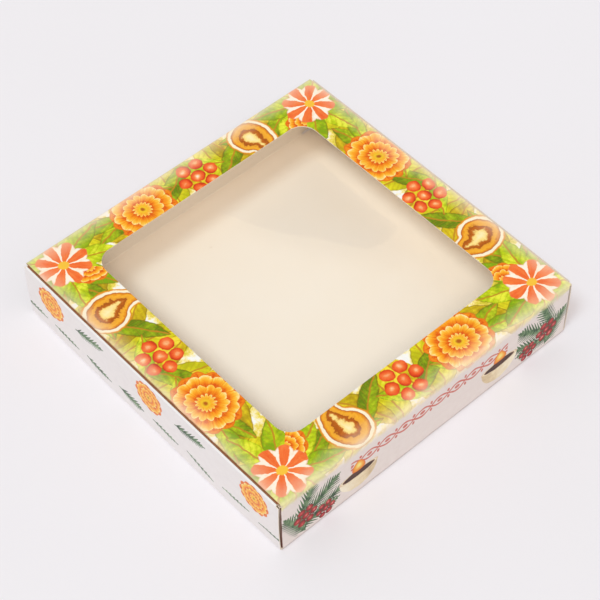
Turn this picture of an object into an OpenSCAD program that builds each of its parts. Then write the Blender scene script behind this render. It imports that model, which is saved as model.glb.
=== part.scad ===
// Flat square window carton for sweets: a glued tube of folding boxboard with
// two tuck ends. Origin at the centre of the underside, +Z up, millimetres.
// The front wall faces -Y, the left end faces -X.

/* [Carton] */
// Outside length over the two end panels
carton_x = 202; // [150:1:320]
// Outside width over the front and back walls
carton_y = 200; // [150:1:320]
// Outside height of the closed carton
carton_z = 40; // [26:1:80]

/* [Board] */
// Thickness of the folding boxboard
board = 0.5; // [0.3:0.05:0.7]
// Outside radius of an edge that stays folded
fold_r = 1.2; // [0.9:0.1:2.5]
// Running gap between a crease bead and the panels that turn on it
crease_gap = 0.05; // [0.03:0.01:0.15]

/* [Window] */
// Width of the printed border at the left end
border_left = 29.5; // [24:0.5:45]
// Width of the printed border at the right end
border_right = 26; // [24:0.5:45]
// Width of the printed border along the front
border_front = 26; // [20:0.5:45]
// Width of the printed border along the back
border_back = 22; // [20:0.5:45]
// Corner radius of the window
window_r = 10; // [3:0.5:20]

/* [Film] */
// Thickness of the clear film
film = 0.2; // [0.1:0.05:0.4]
// Overlap of the film past the window's edge
film_lap = 8; // [5:0.5:9]
// Thickness of a line of adhesive
glue = 0.1; // [0.05:0.05:0.2]
// Width of the adhesive frame that holds the film
film_glue_w = 4; // [2:0.5:4.5]

/* [Tuck ends] */
// Length of a tuck flap from its crease to its free edge
tuck_l = 12; // [8:0.5:14]
// Radius of a tuck flap's free corners
tuck_r = 8; // [3:0.5:8]
// Height of the slot between a tuck flap and the top panel
tuck_gap = 0.4; // [0.3:0.05:0.8]
// Distance from a wall's outer face to the side edge of a tuck flap
tuck_side = 2.2; // [1.8:0.1:5]
// Distance from a wall's outer face to the side edge of an end panel
end_side = 0.5; // [0.3:0.1:1.5]
// Distance from an end panel's outer face to the raw edge of the top panel
top_inset = 1.6; // [1.2:0.1:2.5]

/* [Dust flaps] */
// Length of a dust flap from its crease to its free edge
dust_l = 45; // [20:1:70]
// Gap between a dust flap and the end panel that closes over it
dust_gap = 1; // [0.4:0.1:1.6]
// Height of a dust flap's lower edge above the floor
dust_low = 1.6; // [1.4:0.1:3]
// Gap between a dust flap's upper edge and the tuck flap that passes over it
dust_top_gap = 0.9; // [0.8:0.1:2]
// Slope of the upper and lower edges towards the free edge
dust_taper = 5; // [0:1:10]
// Radius of a dust flap's free corners
dust_r = 6; // [2:0.5:10]

/* [Seam] */
// Height of the glue flap above the floor
seam_h = 14; // [9:0.5:20]
// Distance from the carton's ends to the glue flap
seam_inset = 9; // [8:0.5:20]
// How far each end of the glue flap slopes in
seam_taper = 4; // [0:0.5:8]
// Distance from the glue flap's edges to the line of adhesive
seam_glue_edge = 2; // [1:0.5:3]
// Height of the back wall's raw lower edge above the floor
seam_lift = 0.2; // [0.1:0.05:0.5]

/* [Hidden] */
$fn = 64;
half_x = carton_x / 2;
half_y = carton_y / 2;

// A crease bead is as thick as the board is folded over: its radius is the board
bead_r = board;
// From a panel's outer face to the start of the panel it is creased to
bead_room = 2 * bead_r + crease_gap;

// End panel and tuck flap, measured inwards from the carton's end
end_axis_z = bead_r;
tuck_top = carton_z - board - tuck_gap;
tuck_axis_z = tuck_top - bead_r;

// Dust flaps, measured inwards from the carton's end
dust_face = board + dust_gap;
dust_axis = dust_face + bead_r;
dust_high = tuck_top - board - dust_top_gap;
wall_end = dust_face + bead_room;

// Window opening
window_x0 = border_left - half_x;
window_x1 = half_x - border_right;
window_y0 = border_front - half_y;
window_y1 = half_y - border_back;

// Outer face of the glue flap, held off the back wall by the adhesive
seam_y = half_y - board - glue;

// A rectangle from its two corners, with round corners of radius r
module round_rect(x0, y0, x1, y1, r) {
    translate([x0 + r, y0]) square([x1 - x0 - 2 * r, y1 - y0]);
    translate([x0, y0 + r]) square([x1 - x0, y1 - y0 - 2 * r]);
    for (x = [x0 + r, x1 - r], y = [y0 + r, y1 - r])
        translate([x, y]) circle(r);
}

// A flat sheet from one corner to the opposite one
module sheet(low, high) {
    translate(low) cube(high - low);
}

// A quarter turn of board along X, its centre on the axis, outer side to -Y and +Z
module quarter_fold(length) {
    rotate([90, 0, 90])
        linear_extrude(length, center = true)
            intersection() {
                difference() {
                    circle(fold_r);
                    circle(fold_r - board);
                }
                translate([-fold_r, 0]) square(fold_r);
            }
}

// The bead of a crease, a rod along Y
module crease_y(x, z, y0, y1) {
    translate([x, y0, z]) rotate([-90, 0, 0]) cylinder(h = y1 - y0, r = bead_r);
}

// Window opening, grown by a margin on every side
module window_outline(margin) {
    round_rect(window_x0 - margin, window_y0 - margin,
               window_x1 + margin, window_y1 + margin, window_r + margin);
}

module bottom_panel() {
    color("antiquewhite")
        sheet([bead_room - half_x, fold_r - half_y, 0],
              [half_x - bead_room, seam_y - fold_r, board]);
}

module front_wall() {
    color("whitesmoke")
        sheet([wall_end - half_x, -half_y, fold_r],
              [half_x - wall_end, board - half_y, carton_z - fold_r]);
}

module back_wall() {
    color("whitesmoke")
        sheet([wall_end - half_x, half_y - board, seam_lift],
              [half_x - wall_end, half_y, carton_z - fold_r]);
}

module top_panel() {
    color("yellowgreen")
        translate([0, 0, carton_z - board])
            linear_extrude(board)
                difference() {
                    translate([top_inset - half_x, fold_r - half_y])
                        square([carton_x - 2 * top_inset, carton_y - 2 * fold_r]);
                    window_outline(0);
                }
}

module fold_front_top() {
    color("ivory")
        translate([0, fold_r - half_y, carton_z - fold_r])
            quarter_fold(carton_x - 2 * top_inset);
}

module fold_back_top() {
    color("ivory")
        translate([0, half_y - fold_r, carton_z - fold_r])
            mirror([0, 1, 0]) quarter_fold(carton_x - 2 * top_inset);
}

module fold_front_bottom() {
    color("ivory")
        translate([0, fold_r - half_y, fold_r])
            mirror([0, 0, 1]) quarter_fold(carton_x - 2 * top_inset);
}

module fold_glue_flap() {
    color("antiquewhite")
        translate([0, seam_y - fold_r, fold_r])
            mirror([0, 0, 1]) mirror([0, 1, 0])
                quarter_fold(carton_x - 2 * seam_inset);
}

module glue_flap() {
    base = half_x - seam_inset;
    head = base - seam_taper;
    color("antiquewhite")
        translate([0, seam_y, 0])
            rotate([90, 0, 0])
                linear_extrude(board)
                    polygon([[-base, fold_r], [base, fold_r], [head, seam_h], [-head, seam_h]]);
}

module seam_glue() {
    reach = half_x - seam_inset - seam_taper - seam_glue_edge;
    color("khaki")
        sheet([-reach, seam_y, fold_r + seam_glue_edge],
              [reach, seam_y + glue, seam_h - seam_glue_edge]);
}

module window_film() {
    color("lightcyan", 0.3)
        translate([0, 0, carton_z - board - glue - film])
            linear_extrude(film)
                translate([window_x0 - film_lap, window_y0 - film_lap])
                    square([window_x1 - window_x0 + 2 * film_lap,
                            window_y1 - window_y0 + 2 * film_lap]);
}

module film_glue() {
    start = (film_lap - film_glue_w) / 2;
    color("khaki")
        translate([0, 0, carton_z - board - glue])
            linear_extrude(glue)
                difference() {
                    window_outline(start + film_glue_w);
                    window_outline(start);
                }
}

// The pieces of the left end; the right end is its mirror image

module end_crease() {
    color("ivory")
        crease_y(bead_r - half_x, end_axis_z, end_side - half_y, half_y - end_side);
}

module end_panel() {
    color("whitesmoke")
        sheet([-half_x, end_side - half_y, bead_room],
              [board - half_x, half_y - end_side, tuck_top - bead_room]);
}

module tuck_crease() {
    color("ivory")
        crease_y(bead_r - half_x, tuck_axis_z, tuck_side - half_y, half_y - tuck_side);
}

module tuck_flap() {
    tip = bead_r + tuck_l;
    reach = half_y - tuck_side;
    color("antiquewhite")
        translate([-half_x, 0, tuck_top - board])
            linear_extrude(board)
                intersection() {
                    round_rect(tip - 3 * tuck_r, -reach, tip, reach, tuck_r);
                    translate([bead_room, -reach]) square([tip - bead_room, 2 * reach]);
                }
}

// The pieces of the front left dust flap; the others are its mirror images

module dust_crease() {
    color("ivory")
        translate([dust_axis - half_x, bead_r - half_y, dust_low])
            cylinder(h = dust_high - dust_low, r = bead_r);
}

module dust_flap() {
    // Round corner tangent to the sloping edge and to the free edge
    tip = bead_r + dust_l;
    corner_y = tip - dust_r;
    corner_drop = (corner_y - bead_room) * tan(dust_taper) + dust_r / cos(dust_taper);
    touch_y = corner_y + dust_r * sin(dust_taper);
    touch_drop = corner_drop - dust_r * cos(dust_taper);
    color("antiquewhite")
        translate([dust_face - half_x, -half_y, 0])
            rotate([90, 0, 90])
                linear_extrude(board) {
                    polygon([[bead_room, dust_low], [touch_y, dust_low + touch_drop],
                             [tip, dust_low + corner_drop], [tip, dust_high - corner_drop],
                             [touch_y, dust_high - touch_drop], [bead_room, dust_high]]);
                    for (z = [dust_low + corner_drop, dust_high - corner_drop])
                        translate([corner_y, z]) circle(dust_r);
                }
}

module to_right() {
    mirror([1, 0, 0]) children();
}

module to_back() {
    mirror([0, 1, 0]) children();
}

module left_end_crease() end_crease();
module left_end_panel() end_panel();
module left_tuck_crease() tuck_crease();
module left_tuck_flap() tuck_flap();
module right_end_crease() to_right() end_crease();
module right_end_panel() to_right() end_panel();
module right_tuck_crease() to_right() tuck_crease();
module right_tuck_flap() to_right() tuck_flap();
module front_left_dust_crease() dust_crease();
module front_left_dust_flap() dust_flap();
module back_left_dust_crease() to_back() dust_crease();
module back_left_dust_flap() to_back() dust_flap();
module front_right_dust_crease() to_right() dust_crease();
module front_right_dust_flap() to_right() dust_flap();
module back_right_dust_crease() to_right() to_back() dust_crease();
module back_right_dust_flap() to_right() to_back() dust_flap();

bottom_panel();
front_wall();
back_wall();
top_panel();
fold_front_bottom();
fold_front_top();
fold_back_top();
fold_glue_flap();
glue_flap();
seam_glue();
window_film();
film_glue();
left_end_crease();
left_end_panel();
left_tuck_crease();
left_tuck_flap();
right_end_crease();
right_end_panel();
right_tuck_crease();
right_tuck_flap();
front_left_dust_crease();
front_left_dust_flap();
back_left_dust_crease();
back_left_dust_flap();
front_right_dust_crease();
front_right_dust_flap();
back_right_dust_crease();
back_right_dust_flap();
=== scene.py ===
"""Flat square sweet box of printed folding board with a film window and two tuck ends.

The front wall faces -Y and the left end faces -X. The mesh is in metres, while the
print is laid out in millimetres, measured from the middle of the bottom.
"""

import math

import bpy
from mathutils import Matrix, Vector


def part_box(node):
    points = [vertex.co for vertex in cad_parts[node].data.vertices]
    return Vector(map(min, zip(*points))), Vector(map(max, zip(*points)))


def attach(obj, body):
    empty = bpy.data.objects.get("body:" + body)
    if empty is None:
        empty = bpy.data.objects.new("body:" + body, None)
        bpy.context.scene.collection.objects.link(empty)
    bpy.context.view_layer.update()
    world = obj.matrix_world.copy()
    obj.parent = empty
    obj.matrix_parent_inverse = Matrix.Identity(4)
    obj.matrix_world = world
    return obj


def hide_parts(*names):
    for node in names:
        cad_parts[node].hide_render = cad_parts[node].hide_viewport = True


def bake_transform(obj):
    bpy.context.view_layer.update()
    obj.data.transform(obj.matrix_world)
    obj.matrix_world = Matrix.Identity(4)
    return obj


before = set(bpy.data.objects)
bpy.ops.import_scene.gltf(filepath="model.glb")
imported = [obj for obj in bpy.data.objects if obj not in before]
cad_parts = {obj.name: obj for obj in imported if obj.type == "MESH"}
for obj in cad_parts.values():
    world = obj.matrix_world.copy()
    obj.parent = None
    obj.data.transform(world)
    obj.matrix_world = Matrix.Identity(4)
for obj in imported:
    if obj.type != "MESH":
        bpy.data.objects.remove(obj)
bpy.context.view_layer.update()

MM = 0.001
LEFT, RIGHT = Vector((-1, 0, 0)), Vector((1, 0, 0))
FRONT, BACK = Vector((0, -1, 0)), Vector((0, 1, 0))
DOWN, UP = Vector((0, 0, -1)), Vector((0, 0, 1))

# The carton in millimetres, as the print uses it
HALF = 100.0
HALF_LONG = 101.0
TALL = 40.0
FOLD_MM = 1.2

# The board, the film and their cut-outs in metres
BOARD = 0.5 * MM
FOLD_R = FOLD_MM * MM
BEAD_R = 1.05 * MM
WINDOW_R = 10 * MM
FILM_LAP = 8 * MM
GLUE_WIDE = 4 * MM
GLUE_R = 16 * MM
TUCK_R = 8 * MM
DUST_R = 5.6 * MM
DUST_TAPER = math.radians(5)
SEAM_TAPER = 4 * MM

# About how large the cells of a sheet are, so that it can bow
CELL = 8 * MM


# Shader maths


def tint(red, green, blue):
    """A colour as a paint chart gives it, 0 to 255, made linear."""
    def linear(level):
        level /= 255
        return level / 12.92 if level <= 0.04045 else ((level + 0.055) / 1.055) ** 2.4
    return (linear(red), linear(green), linear(blue), 1.0)


class Wire:
    """A value socket whose sums and products add Math nodes."""

    def __init__(self, finish, socket):
        self.finish, self.socket = finish, socket

    def __add__(self, other):
        return self.finish.sum("ADD", self, other)

    __radd__ = __add__

    def __sub__(self, other):
        return self.finish.sum("SUBTRACT", self, other)

    def __rsub__(self, other):
        return self.finish.sum("SUBTRACT", other, self)

    def __mul__(self, other):
        return self.finish.sum("MULTIPLY", self, other)

    __rmul__ = __mul__

    def __truediv__(self, other):
        return self.finish.sum("DIVIDE", self, other)

    def __rtruediv__(self, other):
        return self.finish.sum("DIVIDE", other, self)

    def __pow__(self, other):
        return self.finish.sum("POWER", self, other)

    def __mod__(self, other):
        return self.finish.sum("FLOORED_MODULO", self, other)

    def __neg__(self):
        return self.finish.sum("MULTIPLY", self, -1.0)

    def __abs__(self):
        return self.finish.sum("ABSOLUTE", self)


class Finish:
    """One material and the ways its nodes are added."""

    def __init__(self, name):
        self.material = bpy.data.materials.new(name)
        self.material.use_nodes = True
        self.tree = self.material.node_tree
        self.tree.nodes.clear()
        self.out = self.tree.nodes.new("ShaderNodeOutputMaterial")

    def node(self, kind, settings=None, values=None, out=0):
        """A node with its settings, then its values or links; gives one output."""
        made = self.tree.nodes.new(kind)
        for key, value in (settings or {}).items():
            setattr(made, key, value)
        for key, value in (values or {}).items():
            if isinstance(value, Wire):
                self.tree.links.new(value.socket, made.inputs[key])
            else:
                made.inputs[key].default_value = value
        return Wire(self, made.outputs[out])

    def sum(self, what, *terms):
        return self.node("ShaderNodeMath", {"operation": what}, dict(enumerate(terms)))

    def least(self, a, b):
        return self.sum("MINIMUM", a, b)

    def most(self, a, b):
        return self.sum("MAXIMUM", a, b)

    def floor(self, a):
        return self.sum("FLOOR", a)

    def sine(self, a):
        return self.sum("SINE", a)

    def cosine(self, a):
        return self.sum("COSINE", a)

    def length(self, a, b):
        return self.sum("SQRT", a * a + b * b)

    def angle(self, a, b):
        return self.sum("ARCTAN2", a, b)

    def step(self, value, low, high):
        """0 at low, 1 at high, with a soft start and end."""
        return self.node(
            "ShaderNodeMapRange",
            {"interpolation_type": "SMOOTHSTEP"},
            {"Value": value, "From Min": low, "From Max": high},
        )

    def mix(self, share, first, second):
        """first at share 0, second at share 1."""
        return self.node(
            "ShaderNodeMix", {"data_type": "RGBA"}, {0: share, 6: first, 7: second}, 2
        )

    def ramp(self, value, stops):
        """Colours by a value: stops are pairs of a place from 0 to 1 and a colour."""
        made = self.node("ShaderNodeValToRGB", None, {0: value})
        line = made.socket.node.color_ramp.elements
        for i, (spot, colour) in enumerate(stops):
            stop = line[i] if i < 2 else line.new(spot)
            stop.position, stop.color = spot, colour
        return made

    def shade(self, colour, level):
        """The colour made darker or lighter by a level round 1."""
        return self.node(
            "ShaderNodeVectorMath", {"operation": "SCALE"}, {0: colour, 3: level}
        )

    def noise(self, place, size, detail=2.0, rough=0.5, out=0):
        """Soft noise whose lumps are about size millimetres."""
        return self.node(
            "ShaderNodeTexNoise",
            {"noise_dimensions": "3D"},
            {"Vector": place, "Scale": 1 / size, "Detail": detail, "Roughness": rough},
            out,
        )

    def split(self, vector):
        made = self.node("ShaderNodeSeparateXYZ", None, {0: vector}).socket.node
        return [Wire(self, made.outputs[i]) for i in range(3)]

    def chance(self, number, seed):
        """Three numbers from 0 to 1, the same for the same number."""
        made = self.node(
            "ShaderNodeTexWhiteNoise", {"noise_dimensions": "1D"}, {"W": number + seed}, 1
        )
        return self.split(made)

    def place(self):
        """Object coordinates in millimetres."""
        point = self.node("ShaderNodeTexCoord", None, None, "Object")
        return self.node(
            "ShaderNodeVectorMath", {"operation": "SCALE"}, {0: point, 3: 1000.0}
        )

    def board(self, colour, roughness, height=None, strength=0.2, depth=0.05, **more):
        """The Principled shader of a board or a glue, with its bump."""
        values = {"Base Color": colour, "Roughness": roughness}
        values.update(more)
        if height is not None:
            values["Normal"] = self.node(
                "ShaderNodeBump",
                None,
                {"Strength": strength, "Distance": depth * MM, "Height": height},
            )
        shader = self.node("ShaderNodeBsdfPrincipled", None, values)
        self.tree.links.new(shader.socket, self.out.inputs[0])
        return self.material


# The print

WHITE = tint(252, 249, 244)
LEAF = {
    "lemon": (tint(252, 240, 76), tint(228, 215, 26), tint(190, 186, 8)),
    "fresh": (tint(238, 239, 60), tint(194, 210, 16), tint(131, 166, 4)),
    "deep": (tint(210, 214, 38), tint(162, 185, 14), tint(105, 129, 4)),
    "olive": (tint(250, 226, 60), tint(224, 196, 22), tint(176, 148, 6)),
}
VEIN = tint(196, 132, 30)
OUTLINE = tint(142, 104, 16)
BARE_WHITE = (tint(246, 243, 241), tint(238, 235, 233))
DULL = {"Specular IOR Level": 0.22}


def lay(ink, under, motif):
    """A motif over what is printed already."""
    mask, colour = motif
    return ink.mix(mask, under, colour)


def turned(ink, along, across, turn):
    """Coordinates turned by an angle, a number or a wire."""
    if isinstance(turn, Wire):
        c, s = ink.cosine(turn), ink.sine(turn)
    else:
        c, s = math.cos(turn), math.sin(turn)
    return along * c + across * s, across * c - along * s


def leaf_shape(ink, p, q, long, wide, bend, family, wash):
    """A pointed leaf along p with a gold midrib and side ribs; wash is a noise."""
    light, middle, dark = LEAF[family]
    q = q - p * p * bend
    half = (1 - p * p / (long * long / 4)) * (wide / 2)
    edge = abs(q) - half
    rib = ink.sine((p - abs(q) * 1.15) * (math.tau / 3.9))
    upper = ink.step(q, -0.5, 0.5)
    depth = wash * 2.4 - 0.9 + rib * 0.08 + upper * 0.28
    depth = depth + ink.step(edge, -1.4, 0.0) * 0.25
    depth = depth + ink.step(p, -long / 2, long / 2) * 0.15
    colour = ink.ramp(depth, [(0.0, light), (0.4, middle), (1.0, dark)])
    line = ink.most(ink.step(rib, 0.8, 1.0) * 0.28, ink.step(abs(q), 0.7, 0.25) * 0.9)
    colour = ink.mix(line, colour, VEIN)
    rim = ink.step(edge, -0.75, -0.1) * ink.step(wash, 0.35, 0.6)
    return ink.step(edge, 0.25, -0.3), ink.mix(rim * 0.75, colour, OUTLINE)


# Rows of leaves along an edge: pitch, phase, tilt, length, width, distance from the
# edge, colours and seed
LEAF_ROWS = (
    (29.0, 4.0, 1.30, 46, 18, 12, "lemon", 3.1),
    (29.0, 18.5, -1.15, 44, 15, 14, "olive", 7.7),
    (37.0, 9.0, 0.45, 36, 11, 15, "deep", 1.9),
    (33.0, 27.0, -0.5, 30, 10, 6, "fresh", 5.3),
)


def leaf_row(ink, s, t, row, wash):
    """Leaves in a row along an edge, each turned and shifted a little."""
    pitch, phase, tilt, long, wide, middle, family, seed = row
    cell = ink.floor((s + phase) / pitch)
    one, two, three = ink.chance(cell, seed)
    along = s + phase - (cell + 0.5) * pitch
    across = t - middle - (two - 0.5) * 6
    p, q = turned(ink, along, across, (one - 0.5) * 0.55 + tilt)
    bend = (three - 0.5) * 0.022
    return leaf_shape(ink, p, q, long, wide, bend, family, wash + one * 0.2 - 0.1)


def streaks(ink, turn, far, count, seed):
    """Brush streaks that run out from the middle of a flower."""
    spot = ink.node("ShaderNodeCombineXYZ", None, {0: turn * count, 1: far * 0.16, 2: seed})
    return ink.noise(spot, 1.0, 3.0, 0.65)


def marigold(ink, along, across, size, petals, wash):
    """A round marigold: rings of scalloped petals, dark at the foot, light at the tip."""
    far = ink.length(along, across)
    turn = ink.angle(across, along)
    ring = size / 3.4
    row = ink.floor(far / ring)
    scallop = abs(ink.sine(turn * (petals / 2) + row * 1.57))
    reach = far + (1 - scallop) * (0.3 * ring)
    rise = (reach / ring) % 1.0
    brush = streaks(ink, turn, far, petals * 0.9, size)
    tone = rise * 0.86 + (brush - 0.5) * 0.75 + (wash - 0.5) * 0.5 + 0.05
    tone = tone - ink.step(scallop, 0.3, 0.0) * 0.28 - ink.step(far, size * 0.9, 0.0) * 0.12
    colour = ink.ramp(tone, [
        (0.0, tint(224, 90, 6)), (0.2, tint(244, 132, 14)), (0.46, tint(253, 168, 32)),
        (0.7, tint(255, 198, 68)), (0.92, tint(255, 230, 156))])
    colour = ink.mix(ink.step(far, size * 0.2, size * 0.1), colour, tint(246, 196, 40))
    colour = ink.mix(ink.step(far, size * 0.1, size * 0.03), colour, tint(184, 96, 18))
    edge = reach - size
    colour = ink.mix(ink.step(edge, -1.3, -0.2) * 0.75, colour, tint(226, 96, 14))
    return ink.step(edge, 0.3, -0.3), colour


def lotus_round(ink, along, across, size, petals, wash):
    """A red and white flower seen from above, each petal white-edged."""
    far = ink.length(along, across)
    turn = ink.angle(across, along)
    wave = abs(ink.cosine(turn * (petals / 2)))
    edge = far - (wave * 0.2 + 0.82) * size
    flame = wave - 0.3 - ink.step(far, size * 0.3, size) * 0.34
    brush = streaks(ink, turn, far, petals * 1.3, size)
    tone = ink.step(flame, -0.06, 0.16) * 0.6 + (brush - 0.5) * 0.5 + (wash - 0.5) * 0.45
    colour = ink.ramp(tone, [
        (0.0, tint(255, 244, 226)), (0.2, tint(255, 212, 172)), (0.42, tint(252, 136, 66)),
        (0.8, tint(238, 84, 26))])
    colour = ink.mix(ink.step(far, size * 0.22, size * 0.16), colour, tint(250, 196, 60))
    colour = ink.mix(ink.step(edge, -0.9, -0.1) * 0.5, colour, tint(236, 120, 72))
    return ink.step(edge, 0.3, -0.3), colour


def dot_rosette(ink, along, across, ring, dot, wash, deep=False):
    """Seven red dots, six round one, each with a light spot."""
    far = ink.length(along, across)
    turn = ink.angle(across, along)
    sixth = math.tau / 6
    nearest = (turn + sixth / 2) % sixth - sixth / 2
    round_p, round_q = far * ink.cosine(nearest) - ring, far * ink.sine(nearest)
    near = ink.least(ink.length(round_p, round_q), far)
    shine = ink.least(ink.length(round_p - dot * 0.3, round_q - dot * 0.25),
                      ink.length(along - dot * 0.3, across - dot * 0.25))
    tone = near / dot * 0.55 + shine / dot * 0.32 + (wash - 0.5) * 0.9
    reds = [(0.0, tint(255, 236, 206)), (0.14, tint(255, 190, 130)), (0.38, tint(250, 124, 60)),
            (0.72, tint(238, 84, 28)), (1.0, tint(186, 40, 10))]
    if deep:
        reds = [(0.0, tint(240, 160, 150)), (0.3, tint(196, 60, 58)), (0.8, tint(128, 20, 28))]
    return ink.step(near, dot + 0.25, dot - 0.25), ink.ramp(tone, reds)


def paisley(ink, along, across, head, curl, wash):
    """A mango drop, golden brown with a cream outline, its tail curled round."""
    near_curl = along - curl
    ring = ink.length(near_curl, across)
    turn = ink.angle(across, -near_curl)
    taper = ink.step(turn, 0.0, 2.1)
    tail = abs(ring - curl) - head * (1 - taper) + ink.step(turn, 0.0, -0.02) * 60
    edge = ink.least(ink.length(along, across) - head, tail)
    brush = streaks(ink, turn, ring, 6.0, head)
    uneven = (wash - 0.5) * 0.5 + (brush - 0.5) * 0.35
    depth = edge * (-1 / head) + ink.step(edge, -3.2, -4.6) * uneven
    colour = ink.ramp(depth, [
        (0.0, tint(216, 126, 20)), (0.06, tint(238, 160, 40)), (0.09, tint(255, 240, 206)),
        (0.19, tint(255, 244, 216)), (0.22, tint(186, 96, 20)), (0.27, tint(228, 138, 26)),
        (0.36, tint(250, 178, 44)), (0.5, tint(240, 164, 46)), (0.56, tint(168, 82, 12)),
        (0.7, tint(196, 104, 20)), (0.78, tint(255, 222, 130)), (1.0, tint(255, 238, 180))])
    return ink.step(edge, 0.3, -0.3), colour


def leaf_fan(ink, u, w, wash):
    """Mango leaves spread round the corner flower."""
    far = ink.length(u, w)
    turn = ink.angle(w, u)
    share = math.tau / 9
    row = ink.floor(turn / share)
    nearest = turn - (row + 0.5) * share
    p, q = far * ink.cosine(nearest) - 17.5, far * ink.sine(nearest)
    return leaf_shape(ink, p, q, 33, 13, 0.004, "fresh", wash + (row % 2.0) * 0.16 - 0.06)


def border_print(ink, place, x, y, z):
    """The full print of the top and of the strip that turns down over the walls.

    Over a fold it runs on by the length of the bend. s goes along the nearest edge,
    t inward from it, and deep inward from the long edge alone."""
    inside = HALF - FOLD_MM - abs(y)
    above = z - (TALL - FOLD_MM)
    bend = ink.angle(ink.most(-inside, 0.0), ink.most(above, 0.0))
    out = bend * FOLD_MM - ink.most(inside, 0.0) - ink.least(above, 0.0)
    deep = FOLD_MM - out
    side = HALF - abs(x)
    on_end = ink.sum("LESS_THAN", side, deep)
    along_front = -x * ink.sum("SIGN", y)
    along_end = y * ink.sum("SIGN", x)
    s = along_front + (along_end - along_front) * on_end
    t = ink.least(deep, side)

    drift = ink.split(ink.noise(place, 11.0, 4.0, 0.6, 1))
    stray_s, stray_t = (drift[0] - 0.5) * 4.0, (drift[1] - 0.5) * 4.0
    s, t = s + stray_s, t + stray_t
    corner_u, corner_w = side + stray_s, deep + stray_t
    wash = ink.noise(place, 6.0, 5.0, 0.66)

    base = ink.ramp(wash + (drift[2] - 0.5) * 0.8, [
        (0.40, WHITE), (0.47, tint(255, 240, 180)), (0.56, tint(242, 216, 92)),
        (0.68, tint(204, 192, 40))])
    for row in LEAF_ROWS:
        base = lay(ink, base, leaf_row(ink, s, t, row, wash))
    base = lay(ink, base, leaf_fan(ink, corner_u - 13, corner_w - 13, wash))
    base = lay(ink, base, marigold(ink, s + 76, t - 24, 12, 10, wash))
    base = lay(ink, base, dot_rosette(ink, s + 6, t - 14, 8.4, 3.9, wash))
    p, q = turned(ink, s + 45, t - 11, 0.5)
    base = lay(ink, base, paisley(ink, p, q, 12.8, 15.5, wash))
    base = lay(ink, base, marigold(ink, s - 31, t - 13, 19, 14, wash))
    base = lay(ink, base, lotus_round(ink, corner_u - 14.5, corner_w - 14.5, 14.5, 8, wash))

    grain = ink.noise(place, 0.9, 2.0, 0.7)
    base = ink.shade(base, (grain - 0.5) * 0.14 + (drift[2] - 0.5) * 0.16 + 1.0)
    edgeward = t + (drift[2] - 0.5) * 6
    pale = ink.step(edgeward, 12.0, 0.0) * 0.36 + ink.step(edgeward, 4.0, 0.0) * 0.24
    base = ink.mix(pale, base, tint(255, 236, 208))
    # At the left end's raw edge the ink is dragged brown, and this brown is partly painted
    # shade of the slit beside the end
    dragged_ink_and_shade = ink.step(side, 1.3, 0.9) * ink.step(drift[2], 0.3, 0.5) * ink.step(x, 40.0, -40.0)
    return ink.mix(dragged_ink_and_shade * 0.6, base, tint(150, 84, 44)), deep, grain


def coated(ink, place, colour, roughness, strength=0.12, **more):
    """Coated board with its faint tooth."""
    tooth = ink.noise(place, 0.35, 2.0, 0.6) + ink.noise(place, 6.0, 2.0, 0.5) * 0.6
    return ink.board(colour, roughness, tooth, strength, **more)


def top_print():
    ink = Finish("printed_top")
    place = ink.place()
    x, y, z = ink.split(place)
    colour, deep, grain = border_print(ink, place, x, y, z)
    return coated(ink, place, colour, grain * 0.12 + 0.36, **DULL)


def sprig(ink, p, q, long, wide, wash):
    """A stem with narrow leaflets on both sides."""
    extent = ink.step(abs(p), long / 2, long / 2 - 0.6)
    reach = ink.step(abs(p), long / 2, long / 2 - 6) * (wide / 2)
    blades = ink.sine((p - abs(q) * 1.3) * (math.tau / 2.7)) * 0.5 + 0.5
    mask = ink.step(abs(q) - reach * (blades * 0.75 + 0.25), 0.3, -0.3)
    mask = ink.most(mask, ink.step(abs(q), 0.55, 0.25)) * extent
    colour = ink.ramp(wash + blades * 0.12 - 0.06, [
        (0.3, tint(146, 168, 128)), (0.5, tint(84, 116, 78)), (0.7, tint(40, 66, 44))])
    return mask, colour


def running_chain(ink, x, rise):
    """Two crossed waves with a drop in each eye and dots above and below each
    crossing, as a mask."""
    high, pitch = 2.9, 12.0
    wave = ink.sine(x * (math.pi / pitch)) * high
    waves = ink.step(ink.least(abs(rise - wave), abs(rise + wave)), 0.95, 0.5)
    local = x % pitch - pitch / 2
    drop = ink.step(ink.length(local * 0.75, rise), 1.5, 1.1)
    dot = ink.length(abs(local) - pitch / 2, (abs(rise) - high) * 0.7)
    return ink.most(ink.most(waves, ink.step(dot, 1.05, 0.7)), drop)


def oil_lamp(ink, under, across, rise, wash):
    """A clay bowl of dark oil with a flame at its rim."""
    sink = rise - 17.5
    bowl = ink.most(ink.length(across, sink * 1.02) - 12.8, sink)
    clay = ink.ramp(wash * 0.7 + across * 0.022 + 0.15, [
        (0.2, tint(253, 243, 220)), (0.55, tint(238, 218, 180)), (0.9, tint(196, 164, 122))])
    colour = ink.mix(ink.step(bowl, 0.3, -0.3), under, clay)
    rim = ink.length(across, sink * 4.2)
    rims = ink.ramp(rim / 13.0, [
        (0.0, tint(88, 48, 34)), (0.7, tint(62, 34, 26)), (0.82, tint(120, 74, 50)),
        (0.86, tint(250, 236, 208)), (1.0, tint(222, 190, 146))])
    colour = ink.mix(ink.step(rim, 13.3, 12.8), colour, rims)
    flame = ink.length(across * (1.3 + (rise - 25) * 0.13), rise - 23.5)
    glow = ink.ramp(flame / 4.4, [
        (0.2, tint(255, 232, 130)), (0.6, tint(252, 176, 60)), (1.0, tint(232, 104, 26))])
    return ink.mix(ink.step(flame, 4.6, 4.1), colour, glow)


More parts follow.
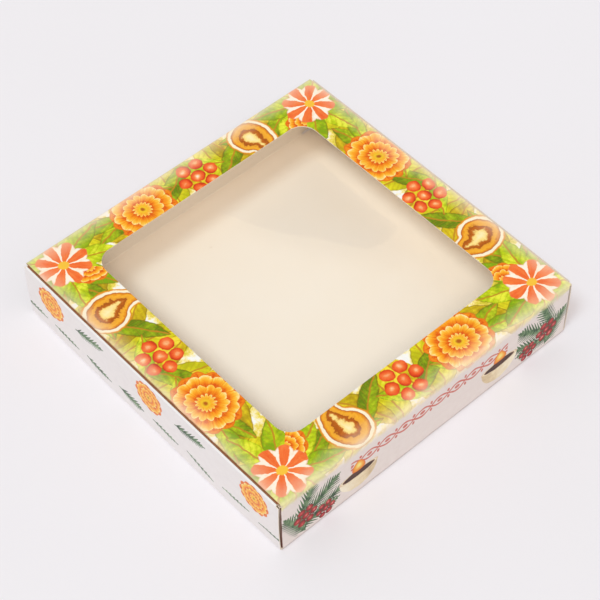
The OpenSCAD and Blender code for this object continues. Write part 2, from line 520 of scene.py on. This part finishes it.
# Sprigs of a long wall: distance from its end, height, turn, length and width
WALL_SPRIGS = ((16, 25, 1.2, 32, 12), (25, 21, 0.6, 34, 13), (9, 14, 2.1, 28, 12),
               (24, 9, 0.05, 30, 11), (32, 14, 0.35, 24, 9))
CHAIN_HIGH, CHAIN_HALF = 26.5, 54.0
LAMP_FROM_END = 51


def front_print():
    """White board with lamps, sprigs and a running chain under the turned-down border, a dark
    band at its ends that is ink bleed and partly painted shade of the corner slit, and a
    painted contact shadow along its foot.
    """
    ink = Finish("printed_front")
    place = ink.place()
    x, y, z = ink.split(place)
    drift = ink.split(ink.noise(place, 9.0, 2.0, 0.5, 1))
    x_print = x + (drift[0] - 0.5) * 1.6
    z_print = z + (drift[1] - 0.5) * 1.6
    wash = ink.noise(place, 4.0, 3.0, 0.6)
    end = HALF - abs(x_print)
    colour = ink.mix(wash, tint(240, 230, 225), tint(230, 216, 210))
    chain = running_chain(ink, x_print, z_print - CHAIN_HIGH)
    chain = chain * ink.step(abs(x_print), CHAIN_HALF + 0.6, CHAIN_HALF)
    colour = ink.mix(chain * (wash * 0.5 + 0.62), colour, tint(206, 92, 76))
    for start, high, turn, long, wide in WALL_SPRIGS:
        p, q = turned(ink, end - start, z_print - high, turn)
        colour = lay(ink, colour, sprig(ink, p, q, long, wide, wash))
    colour = lay(ink, colour, dot_rosette(ink, end - 16, z_print - 15, 5.2, 2.5, wash, True))
    colour = lay(ink, colour, dot_rosette(ink, end - 29, z_print - 8, 4.4, 2.1, wash, True))
    colour = oil_lamp(ink, colour, end - LAMP_FROM_END, z_print, wash)

    border, deep, grain = border_print(ink, place, x, y, z)
    turned_down = ink.step(deep + (wash - 0.5) * 5.0, -6.0, -1.2)
    colour = ink.mix(turned_down, colour, border)
    # Dark band at the wall's ends: ink bleed over the corner crease, and partly painted shade
    # of the slit at the corner
    bleed_and_slit_shade = ink.step(abs(x) + (drift[2] - 0.5) * 0.5, 98.7, 99.2)
    colour = ink.mix(bleed_and_slit_shade, colour, tint(92, 44, 30))
    # Painted contact shadow: a brownish darkening along the foot of the wall
    painted_foot_shadow = ink.step(z + (drift[2] - 0.5) * 1.2, 1.7, 0.7) * 0.6
    colour = ink.mix(painted_foot_shadow, colour, tint(150, 110, 96))
    return coated(ink, place, colour, grain * 0.1 + 0.38, **DULL)


def end_print():
    """White board with small marigolds and sprigs, and a row of slighter sprigs below."""
    ink = Finish("printed_end")
    place = ink.place()
    x, y, z = ink.split(place)
    drift = ink.split(ink.noise(place, 9.0, 2.0, 0.5, 1))
    across = y * ink.sum("SIGN", x) + (drift[0] - 0.5) * 1.6
    rise = z + (drift[1] - 0.5) * 1.6
    wash = ink.noise(place, 4.0, 3.0, 0.6)
    colour = ink.mix(wash, tint(240, 234, 232), tint(230, 222, 221))
    flower_pitch, sprig_pitch = 80.0, 27.0
    local = (across + 21) % flower_pitch - flower_pitch / 2
    colour = lay(ink, colour, marigold(ink, local + 17, rise - 27, 10.6, 12, wash))
    p, q = turned(ink, local - 15, rise - 28, 0.2)
    colour = lay(ink, colour, sprig(ink, p, q, 25, 7, wash))
    cell = ink.floor(across / sprig_pitch)
    one, two, three = ink.chance(cell, 4.4)
    local = across - (cell + 0.5) * sprig_pitch
    p, q = turned(ink, local, rise - 9 - (two - 0.5) * 2, (one - 0.5) * 0.5)
    colour = lay(ink, colour, sprig(ink, p, q, 21, three * 6 + 1.5, wash))
    grain = ink.noise(place, 0.9, 2.0, 0.7)
    return coated(ink, place, colour, grain * 0.1 + 0.38)


def plain_white():
    """Unprinted coated side of the board."""
    ink = Finish("white_board")
    place = ink.place()
    cloud = ink.noise(place, 18.0, 3.0, 0.6)
    colour = ink.mix(cloud, *BARE_WHITE)
    fleck = ink.step(ink.noise(place, 1.1, 2.0, 0.7), 0.68, 0.74) * 0.25
    colour = ink.mix(fleck, colour, tint(214, 206, 196))
    return coated(ink, place, colour, cloud * 0.15 + 0.42, 0.15)


def bled_print_and_shade(name, axis, reach, dark, light):
    """White board with a band of the wall's print bled over a crease; where the band is dark it
    is partly painted shade of the slit it is seen through. reach is where the band starts and
    ends, in millimetres from the middle along the axis."""
    ink = Finish(name)
    place = ink.place()
    where = abs(ink.split(place)[axis])
    cloud = ink.noise(place, 18.0, 3.0, 0.6)
    colour = ink.mix(cloud, *BARE_WHITE)
    ragged = ink.noise(place, 3.0, 3.0, 0.6)
    where = where + (ragged - 0.5) * 0.6
    near, far = reach
    bleed_and_slit_shade = ink.step(where, near, near + 0.6) * ink.step(where, far + 0.25, far)
    colour = ink.mix(bleed_and_slit_shade, colour, ink.mix(ragged, dark, light))
    return coated(ink, place, colour, cloud * 0.15 + 0.42, 0.15)


def cream_inside():
    """Uncoated inner side: pale cream with short fibres."""
    ink = Finish("cream_board")
    place = ink.place()
    cloud = ink.noise(place, 30.0, 3.0, 0.55)
    colour = ink.mix(cloud, tint(253, 242, 229), tint(251, 238, 221))
    fibre = ink.noise(place, 0.8, 4.0, 0.75)
    colour = ink.shade(colour, (fibre - 0.5) * 0.09 + 1.0)
    fleck = ink.step(ink.noise(place, 2.2, 2.0, 0.7), 0.69, 0.75) * 0.3
    colour = ink.mix(fleck, colour, tint(204, 180, 148))
    return ink.board(colour, fibre * 0.1 + 0.78, fibre, 0.25)


def raw_edge():
    """Cut edge of the board: pale pulp with darker threads."""
    ink = Finish("cut_edge")
    place = ink.place()
    thread = ink.noise(place, 0.12, 3.0, 0.7)
    along = ink.noise(place, 4.0, 2.0, 0.6)
    colour = ink.mix(thread, tint(248, 238, 224), tint(222, 202, 178))
    colour = ink.shade(colour, (along - 0.5) * 0.25 + 1.0)
    return ink.board(colour, thread * 0.1 + 0.85, thread, 0.5)


def inked_and_shaded_edge():
    """Cut edge with the ink of the print dragged over it, dark partly as painted shade of the
    slit it borders.
    """
    ink = Finish("inked_and_shaded_edge")
    place = ink.place()
    thread = ink.noise(place, 0.15, 3.0, 0.7)
    along = ink.noise(place, 9.0, 3.0, 0.6)
    colour = ink.ramp(along, [
        (0.35, tint(104, 60, 32)), (0.5, tint(150, 84, 44)), (0.65, tint(86, 44, 24))])
    colour = ink.shade(colour, (thread - 0.5) * 0.3 + 0.9)
    return ink.board(colour, thread * 0.1 + 0.8, thread, 0.5)


def clear_film():
    """Clear window film, a little wavy. It mirrors more at a flat angle and in a
    pointed lobe right of the middle, where it lifts."""
    ink = Finish("clear_film")
    place = ink.place()
    wave = ink.noise(place, 38.0, 2.0, 0.45)
    bump = ink.node("ShaderNodeBump", None,
                    {"Strength": 0.5, "Distance": 1.5 * MM, "Height": wave})
    gloss = ink.node("ShaderNodeBsdfGlossy", None,
                     {"Color": (1, 0.94, 0.86, 1), "Roughness": 0.12, "Normal": bump})
    clear = ink.node("ShaderNodeBsdfTransparent", None, {"Color": (0.995, 0.995, 0.993, 1)})
    facing = ink.node("ShaderNodeLayerWeight", None, {"Blend": 0.5, "Normal": bump}, "Facing")
    x, y = ink.split(place)[:2]
    across, away = x + (wave - 0.5) * 8 - 49, y + 16
    sides = ink.least(across + 8 + away * 0.68, 12 - across)
    lobe = ink.step(ink.least(sides, away - across * across * 0.03), -1.0, 3.0)
    lobe = lobe * ink.step(y, 72.0, 36.0)
    share = facing ** 5.0 * 0.7 + lobe * 0.08 + 0.004
    both = ink.node("ShaderNodeMixShader", None, {0: share, 1: clear, 2: gloss})
    ink.tree.links.new(both.socket, ink.out.inputs[0])
    return ink.material


def dried_glue():
    """Milky adhesive with small pools."""
    ink = Finish("dried_glue")
    place = ink.place()
    pool = ink.noise(place, 2.5, 3.0, 0.6)
    colour = ink.mix(pool, tint(244, 238, 222), tint(226, 214, 186))
    return ink.board(colour, pool * 0.3 + 0.25, pool, 0.6, 0.1)


TOP_PRINT = top_print()
FRONT_PRINT = front_print()
END_PRINT = end_print()
# The dust flaps' bled band is dark partly as painted shade of the corner slit it is seen
# through
DUST_BLEED_AND_SHADE = bled_print_and_shade(
    "dust_flap_bleed_and_shade", 1, (92, 101), tint(70, 34, 24), tint(116, 56, 34))
TUCK_REACH = (96, 100.1)
# The left tuck's bled band is dark partly as painted shade of the slit under the top's edge;
# the right one is pale print
TUCK_BLEED_AND_SHADE = {
    "left": bled_print_and_shade(
        "left_tuck_bleed_and_shade", 0, TUCK_REACH, tint(132, 78, 50), tint(184, 126, 84)),
    "right": bled_print_and_shade(
        "printed_right_tuck", 0, TUCK_REACH, tint(216, 168, 146), tint(250, 241, 236)),
}
WHITE_BOARD = plain_white()
CREAM_BOARD = cream_inside()
CUT_EDGE = raw_edge()
INKED_AND_SHADED_EDGE = inked_and_shaded_edge()
FILM = clear_film()
GLUE = dried_glue()


# Sheets of board


def object_mode():
    """Leaves edit mode."""
    if bpy.context.mode != "OBJECT":
        bpy.ops.object.mode_set(mode="OBJECT")


def only(piece):
    """Nothing but this piece selected."""
    object_mode()
    bpy.ops.object.select_all(action="DESELECT")
    piece.select_set(True)
    bpy.context.view_layer.objects.active = piece


def settle(piece):
    """The piece's place goes into its mesh."""
    only(piece)
    bpy.ops.object.transform_apply(location=True, rotation=True, scale=True)


def blank(name, low, high):
    """A rectangular blank from one corner to the opposite one."""
    object_mode()
    bpy.ops.object.select_all(action="DESELECT")
    low, high = Vector(low), Vector(high)
    bpy.ops.mesh.primitive_cube_add(size=1, location=(low + high) / 2)
    piece = bpy.context.object
    piece.name = piece.data.name = name
    piece.scale = high - low
    settle(piece)
    return piece


def pick_edges(piece, wanted):
    """Edges whose two ends both pass the test are selected in edit mode."""
    only(piece)
    bpy.ops.object.mode_set(mode="EDIT")
    bpy.ops.mesh.select_mode(type="EDGE")
    bpy.ops.mesh.select_all(action="DESELECT")
    bpy.ops.object.mode_set(mode="OBJECT")
    mesh = piece.data
    for edge in mesh.edges:
        a, b = (mesh.vertices[i].co for i in edge.vertices)
        edge.select = wanted(a, b)
    bpy.ops.object.mode_set(mode="EDIT")


def round_corners(piece, thin, radius, where, segments=8):
    """The short edges through the board where the test holds are rounded."""
    pick_edges(piece, lambda a, b: abs((a - b).normalized()[thin]) > 0.99 and where(a))
    bpy.ops.mesh.bevel(offset=radius, segments=segments, affect="EDGES")
    object_mode()


def cut_cells(piece, axes):
    """Cuts the piece into cells along some axes, so that it can bow."""
    only(piece)
    bpy.ops.object.mode_set(mode="EDIT")
    spots = [v.co.copy() for v in piece.data.vertices]
    for axis in axes:
        low, high = min(p[axis] for p in spots), max(p[axis] for p in spots)
        count = max(2, round((high - low) / CELL))
        for i in range(1, count):
            spot, normal = [0, 0, 0], [0, 0, 0]
            spot[axis] = low + (high - low) * i / count
            normal[axis] = 1
            bpy.ops.mesh.select_all(action="SELECT")
            bpy.ops.mesh.bisect(plane_co=spot, plane_no=normal)
    object_mode()


def dress(piece, outer, print_on, inner=None, arc=None):
    """Print on the outer face, cream on the inner one, pulp on the cut edges. For a
    fold, arc gives its centre, the line it turns about and its outer radius."""
    for material in (print_on, inner or CREAM_BOARD, CUT_EDGE):
        piece.data.materials.append(material)
    for face in piece.data.polygons:
        if arc is None:
            facing = face.normal.dot(outer)
            face.material_index = 0 if facing > 0.7 else 1 if facing < -0.7 else 2
        else:
            centre, along, outside = arc
            arm = face.center - centre
            arm -= along * arm.dot(along)
            at_end = abs(face.normal.dot(along)) > 0.7
            if at_end or abs(face.normal.dot(arm.normalized())) < 0.7:
                face.material_index = 2
            else:
                face.material_index = 0 if arm.length > outside - BOARD / 2 else 1


def cut_out(piece, low, high, radius):
    """A round-cornered opening down through the piece."""
    cutter = blank("window_cutter", low, high)
    round_corners(cutter, 2, radius, lambda a: True, 10)
    only(piece)
    opening = piece.modifiers.new("opening", "BOOLEAN")
    opening.operation, opening.object, opening.solver = "DIFFERENCE", cutter, "EXACT"
    bpy.ops.object.modifier_apply(modifier=opening.name)
    bpy.data.objects.remove(cutter)


# How far each ring of a tuck crease stands up, where the board resists the fold
PROUD = (0, 0.1, 0.3, 0.55, 0.78, 0.92, 0.93, 0.72, 0.4, 0.14, 0)


def stand_proud(piece):
    """Lifts the rings of a quarter turn one by one, before it is put in place."""
    spots = [v.co.copy() for v in piece.data.vertices]
    for ring, lift in enumerate(PROUD):
        if not lift:
            continue
        angle = math.pi / 2 * ring / (len(PROUD) - 1)
        only(piece)
        bpy.ops.object.mode_set(mode="EDIT")
        bpy.ops.mesh.select_mode(type="VERT")
        bpy.ops.mesh.select_all(action="DESELECT")
        bpy.ops.object.mode_set(mode="OBJECT")
        for vertex, spot in zip(piece.data.vertices, spots):
            vertex.select = abs(math.atan2(spot.z, -spot.y) - angle) < 0.02
        bpy.ops.object.mode_set(mode="EDIT")
        bpy.ops.transform.translate(value=(0, 0, lift * MM))
        bpy.ops.object.mode_set(mode="OBJECT")


def quarter_turn(name, centre, start, end, length, outside, proud=False):
    """A quarter turn of board about centre, from the start side to the end side."""
    object_mode()
    bpy.ops.object.select_all(action="DESELECT")
    bpy.ops.mesh.primitive_plane_add(size=1, location=(0, BOARD / 2 - outside, 0))
    piece = bpy.context.object
    piece.name = piece.data.name = name
    piece.scale = (length, BOARD, 1)
    settle(piece)
    bpy.ops.object.mode_set(mode="EDIT")
    bpy.ops.mesh.select_all(action="SELECT")
    bpy.ops.mesh.spin(steps=10, angle=math.pi / 2, center=(0, 0, 0), axis=(1, 0, 0))
    bpy.ops.mesh.select_all(action="SELECT")
    bpy.ops.mesh.remove_doubles(threshold=1e-6)
    bpy.ops.mesh.normals_make_consistent(inside=False)
    object_mode()
    if proud:
        stand_proud(piece)
    along = (-start).cross(end)
    turn = Matrix((along, -start, end)).transposed().to_4x4()
    piece.matrix_world = Matrix.Translation(centre) @ turn
    settle(piece)
    return piece, along


# How a filled carton is bowed, in millimetres: how far its corners are drawn in at
# the head and lifted off the floor, and how far the middle of the top sags
HEAD_IN, CORNER_LIFT, TOP_SAG = 0.4, 0.45, 0.45


def shape_cage(name, foot, flare):
    """A lattice round the carton. The corners are drawn in at the head and lifted a
    little off the floor; foot draws the ends' corners in below, flare lets them stand
    out again halfway up."""
    object_mode()
    bpy.ops.object.select_all(action="DESELECT")
    bpy.ops.object.add(type="LATTICE", location=(0, 0, TALL / 2 * MM))
    cage = bpy.context.object
    cage.name = name
    cage.scale = (2 * HALF_LONG * MM, 2 * HALF * MM, TALL * MM)
    lattice = cage.data
    lattice.points_u, lattice.points_v, lattice.points_w = 9, 9, 5
    lattice.interpolation_type_w = "KEY_CATMULL_ROM"
    spread = [max(abs(p.co[i]) for p in lattice.points) for i in range(3)]
    for point in lattice.points:
        px, py, pz = (point.co[i] / spread[i] for i in range(3))
        low = (1 - pz) / 2
        corner = abs(py) ** 6
        inward = HEAD_IN * abs(py) ** 3 * (1 - low) + foot * corner * low
        inward -= flare * corner * (1 - pz * pz)
        sag = TOP_SAG * (1 - px * px) * (1 - py * py) * (1 - low) ** 2
        push = (-px * inward, 0, CORNER_LIFT * abs(px) ** 6 * corner * low - sag)
        point.co_deform = point.co_deform + Vector(
            push[i] * MM / cage.scale[i] for i in range(3))
    return cage


CARTON_SHAPE = shape_cage("carton_shape", 0.0, 0.0)
END_SHAPE = shape_cage("end_shape", 0.9, 0.62)


def bow(piece, cage=CARTON_SHAPE):
    """Gives the piece the carton's own slight bow and smooth shading."""
    only(piece)
    if cage:
        shape = piece.modifiers.new("carton_shape", "LATTICE")
        shape.object = cage
        bpy.ops.object.modifier_apply(modifier=shape.name)
        only(piece)
    bpy.ops.object.shade_smooth_by_angle(angle=math.radians(35))


def fit(piece, node, body):
    """The piece takes its CAD node's place, on its body if it is given one."""
    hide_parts(node)
    if body:
        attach(piece, body)
    return piece


def sheet(node, outer, print_on, body, axes, inner=None, shape=None,
          cage=CARTON_SHAPE):
    """A flat piece of board in its CAD node's box."""
    low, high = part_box(node)
    piece = blank("board_" + node, low, high)
    if shape:
        shape(piece, low, high)
    cut_cells(piece, axes)
    dress(piece, outer, print_on, inner)
    bow(piece, cage)
    return fit(piece, node, body)


film_low, film_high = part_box("window_film")


def open_window(piece, low, high):
    """The window's rim comes from the film's box, which laps it on every side."""
    rim = Vector((FILM_LAP, FILM_LAP, 0))
    cut_low, cut_high = film_low + rim, film_high - rim
    cut_low.z, cut_high.z = low.z - MM, high.z + MM
    cut_out(piece, cut_low, cut_high, WINDOW_R)


sheet("bottom_panel", DOWN, WHITE_BOARD, "carton", (0, 1))
sheet("front_wall", FRONT, FRONT_PRINT, "carton", (0, 2))
sheet("back_wall", BACK, FRONT_PRINT, "carton", (0, 2))
top = sheet("top_panel", UP, TOP_PRINT, "carton", (0, 1),
            shape=open_window)

# The cut edges over the two ends have ink dragged over them, dark partly as painted shade of
# the slits there
top.data.materials.append(INKED_AND_SHADED_EDGE)
for face in top.data.polygons:
    if abs(face.normal.x) > 0.7 and abs(face.center.x) > 95 * MM:
        face.material_index = 3


def taper_glue_flap(piece, low, high):
    """The glue flap's two ends slope in towards its raw edge."""
    pick_edges(piece, lambda a, b: min(a.z, b.z) > high.z - 1e-6)
    share = (high.x - SEAM_TAPER) / high.x
    bpy.ops.transform.resize(value=(share, 1, 1))
    object_mode()


sheet("glue_flap", BACK, WHITE_BOARD, "carton", (0, 2),
      shape=taper_glue_flap)
sheet("seam_glue", BACK, GLUE, "carton", (0,), inner=GLUE)


def glue_frame(piece, low, high):
    """A round-cornered frame of adhesive."""
    round_corners(piece, 2, GLUE_R, lambda a: True, 10)
    width = Vector((GLUE_WIDE, GLUE_WIDE, 0))
    cut_low, cut_high = low + width, high - width
    cut_low.z, cut_high.z = low.z - MM, high.z + MM
    cut_out(piece, cut_low, cut_high, GLUE_R - GLUE_WIDE)


sheet("film_glue", UP, GLUE, "carton", (0, 1), inner=GLUE, shape=glue_frame)

film = blank("window_film_sheet", film_low, film_high)
cut_cells(film, (0, 1))
film.data.materials.append(FILM)
bow(film)
fit(film, "window_film", "carton")


def round_tuck(out):
    """How a tuck flap is shaped: its two free corners are round."""
    def shape(piece, low, high):
        middle = (low.x + high.x) / 2
        round_corners(piece, 2, TUCK_R, lambda a: (a.x - middle) * out.x < 0)
    return shape


def taper_dust_flap(facing):
    """How a dust flap is shaped: it narrows to its free edge and has round corners."""
    def shape(piece, low, high):
        middle = (low.y + high.y) / 2

        def free(a):
            return (a.y - middle) * facing.y < 0

        pick_edges(piece, lambda a, b: free(a) and free(b))
        drop = (high.y - low.y) * math.tan(DUST_TAPER)
        share = 1 - drop / ((high.z - low.z) / 2)
        bpy.ops.transform.resize(value=(1, 1, share))
        round_corners(piece, 0, DUST_R, free)
    return shape


ENDS = (("left", LEFT), ("right", RIGHT))
WALLS = (("front", FRONT), ("back", BACK))

for side, out in ENDS:
    sheet(side + "_end_panel", out, END_PRINT, side + "_end", (1, 2),
          cage=END_SHAPE)
    sheet(side + "_tuck_flap", UP, TUCK_BLEED_AND_SHADE[side], side + "_tuck", (0, 1),
          shape=round_tuck(out), cage=END_SHAPE)
    for wall, facing in WALLS:
        name = f"{wall}_{side}_dust"
        sheet(name + "_flap", out, DUST_BLEED_AND_SHADE, name, (1, 2),
              shape=taper_dust_flap(facing), cage=None)


def axis_of(direction):
    """The number of the axis that a direction lies along."""
    return max(range(3), key=lambda i: abs(direction[i]))


def fold(node, start, end, outside, print_on, bodies=None, centre=None,
         length=None, proud=False, cage=CARTON_SHAPE):
    """A fold as a quarter turn of board in its node's box, or about a centre that is
    given. One that opens and closes is given two bodies, but it is put on neither and its place
    is baked into its mesh."""
    low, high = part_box(node)
    if centre is None:
        centre = (low + high) / 2
        for direction in (start, end):
            axis = axis_of(direction)
            face = high[axis] if direction[axis] > 0 else low[axis]
            centre[axis] = face - direction[axis] * outside
        across = axis_of(start.cross(end))
        length = high[across] - low[across]
    piece, along = quarter_turn(
        "board_" + node, centre, start, end, length, outside, proud)
    cut_cells(piece, (axis_of(along),))
    dress(piece, start, print_on, arc=(centre, along, outside))
    bow(piece, cage)
    fit(piece, node, None if bodies else "carton")
    if bodies:
        radius = outside - BOARD / 2
        first, last = centre + start * radius, centre + end * radius
        rigid = (last - first) * 0.17
        first + rigid
        last - rigid
        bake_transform(piece)


for node, start, end, print_on, slot in (
        ("fold_front_top", FRONT, UP, TOP_PRINT, "printed_border"),
        ("fold_back_top", BACK, UP, TOP_PRINT, "printed_border"),
        ("fold_front_bottom", FRONT, DOWN, FRONT_PRINT, "printed_wall"),
        ("fold_glue_flap", BACK, DOWN, WHITE_BOARD, "plain_board")):
    fold(node, start, end, FOLD_R, print_on)

for side, out in ENDS:
    end_body, tuck_body = side + "_end", side + "_tuck"
    panel_low, panel_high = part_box(side + "_end_panel")
    inner_x = out.x * (HALF_LONG * MM - BEAD_R)
    foot = Vector((inner_x, 0, panel_low.z))
    fold(side + "_end_crease", DOWN, out, BEAD_R, END_PRINT,
         ("carton", end_body), foot, panel_high.y - panel_low.y, cage=END_SHAPE)
    tuck_low, tuck_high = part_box(side + "_tuck_flap")
    head = Vector((inner_x, 0, panel_high.z))
    fold(side + "_tuck_crease", out, UP, BEAD_R, TUCK_BLEED_AND_SHADE[side],
         (end_body, tuck_body), head, tuck_high.y - tuck_low.y, proud=True, cage=END_SHAPE)
    for wall, facing in WALLS:
        name = f"{wall}_{side}_dust"
        wall_low, wall_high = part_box(wall + "_wall")
        wall_x = wall_high.x if out.x > 0 else wall_low.x
        crease_low, crease_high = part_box(name + "_crease")
        post = Vector((wall_x, facing.y * (HALF * MM - BEAD_R),
                       (crease_low.z + crease_high.z) / 2))
        fold(name + "_crease", facing, out, BEAD_R, FRONT_PRINT,
             ("carton", name), post, crease_high.z - crease_low.z)

bpy.data.objects.remove(CARTON_SHAPE)
bpy.data.objects.remove(END_SHAPE)


# The studio


def pale_floor():
    """Smooth pale studio sheet, with a breath of lilac and a faint unevenness."""
    ink = Finish("studio_sheet")
    place = ink.place()
    cloud = ink.noise(place, 320.0, 2.0, 0.5)
    colour = ink.mix(cloud, tint(241, 237, 241), tint(237, 232, 235))
    return ink.board(colour, cloud * 0.1 + 0.75)


bpy.ops.object.select_all(action="DESELECT")
bpy.ops.mesh.primitive_grid_add(x_subdivisions=4, y_subdivisions=4, size=60)
floor = bpy.context.object
floor.name = "studio_floor"
floor.data.materials.append(pale_floor())

world = bpy.data.worlds.new("studio")
bpy.context.scene.world = world
world.use_nodes = True
sky = world.node_tree.nodes["Background"]
sky.inputs["Color"].default_value = (1.0, 0.98, 0.967, 1)
sky.inputs["Strength"].default_value = 0.585


def lamp(name, toward, softness, strength, colour):
    """A large distant softbox: the direction it shines in and its spread in degrees."""
    light = bpy.data.lights.new(name, "SUN")
    light.angle, light.energy, light.color = math.radians(softness), strength, colour
    holder = bpy.data.objects.new(name, light)
    bpy.context.collection.objects.link(holder)
    holder.rotation_mode = "QUATERNION"
    holder.rotation_quaternion = Vector(toward).to_track_quat("-Z", "Y")


lamp("key", (0.52, 0.12, -1.0), 16.0, 0.955, (0.76, 0.92, 1.0))
lamp("fill", (0.50, 0.58, -1.0), 18.0, 0.87, (1.0, 0.93, 0.84))

# The camera, as it was fitted to the corners of the box in the reference photo
eye = bpy.data.cameras.new("eye")
eye.lens, eye.sensor_width, eye.sensor_height = 113.115, 36, 36
eye.clip_start, eye.clip_end = 0.05, 20
camera = bpy.data.objects.new("eye", eye)
bpy.context.collection.objects.link(camera)
right = Vector((0.74425352, -0.66782277, -0.00997239))
up = Vector((0.52943589, 0.58079474, 0.61836487))
back = Vector((-0.40716623, -0.46549997, 0.78582787))
camera.matrix_world = (Matrix.Translation((-0.40148, -0.46137, 0.79473))
                       @ Matrix((right, up, back)).transposed().to_4x4())
bpy.context.scene.camera = camera
bpy.context.scene.view_settings.view_transform = "Standard"
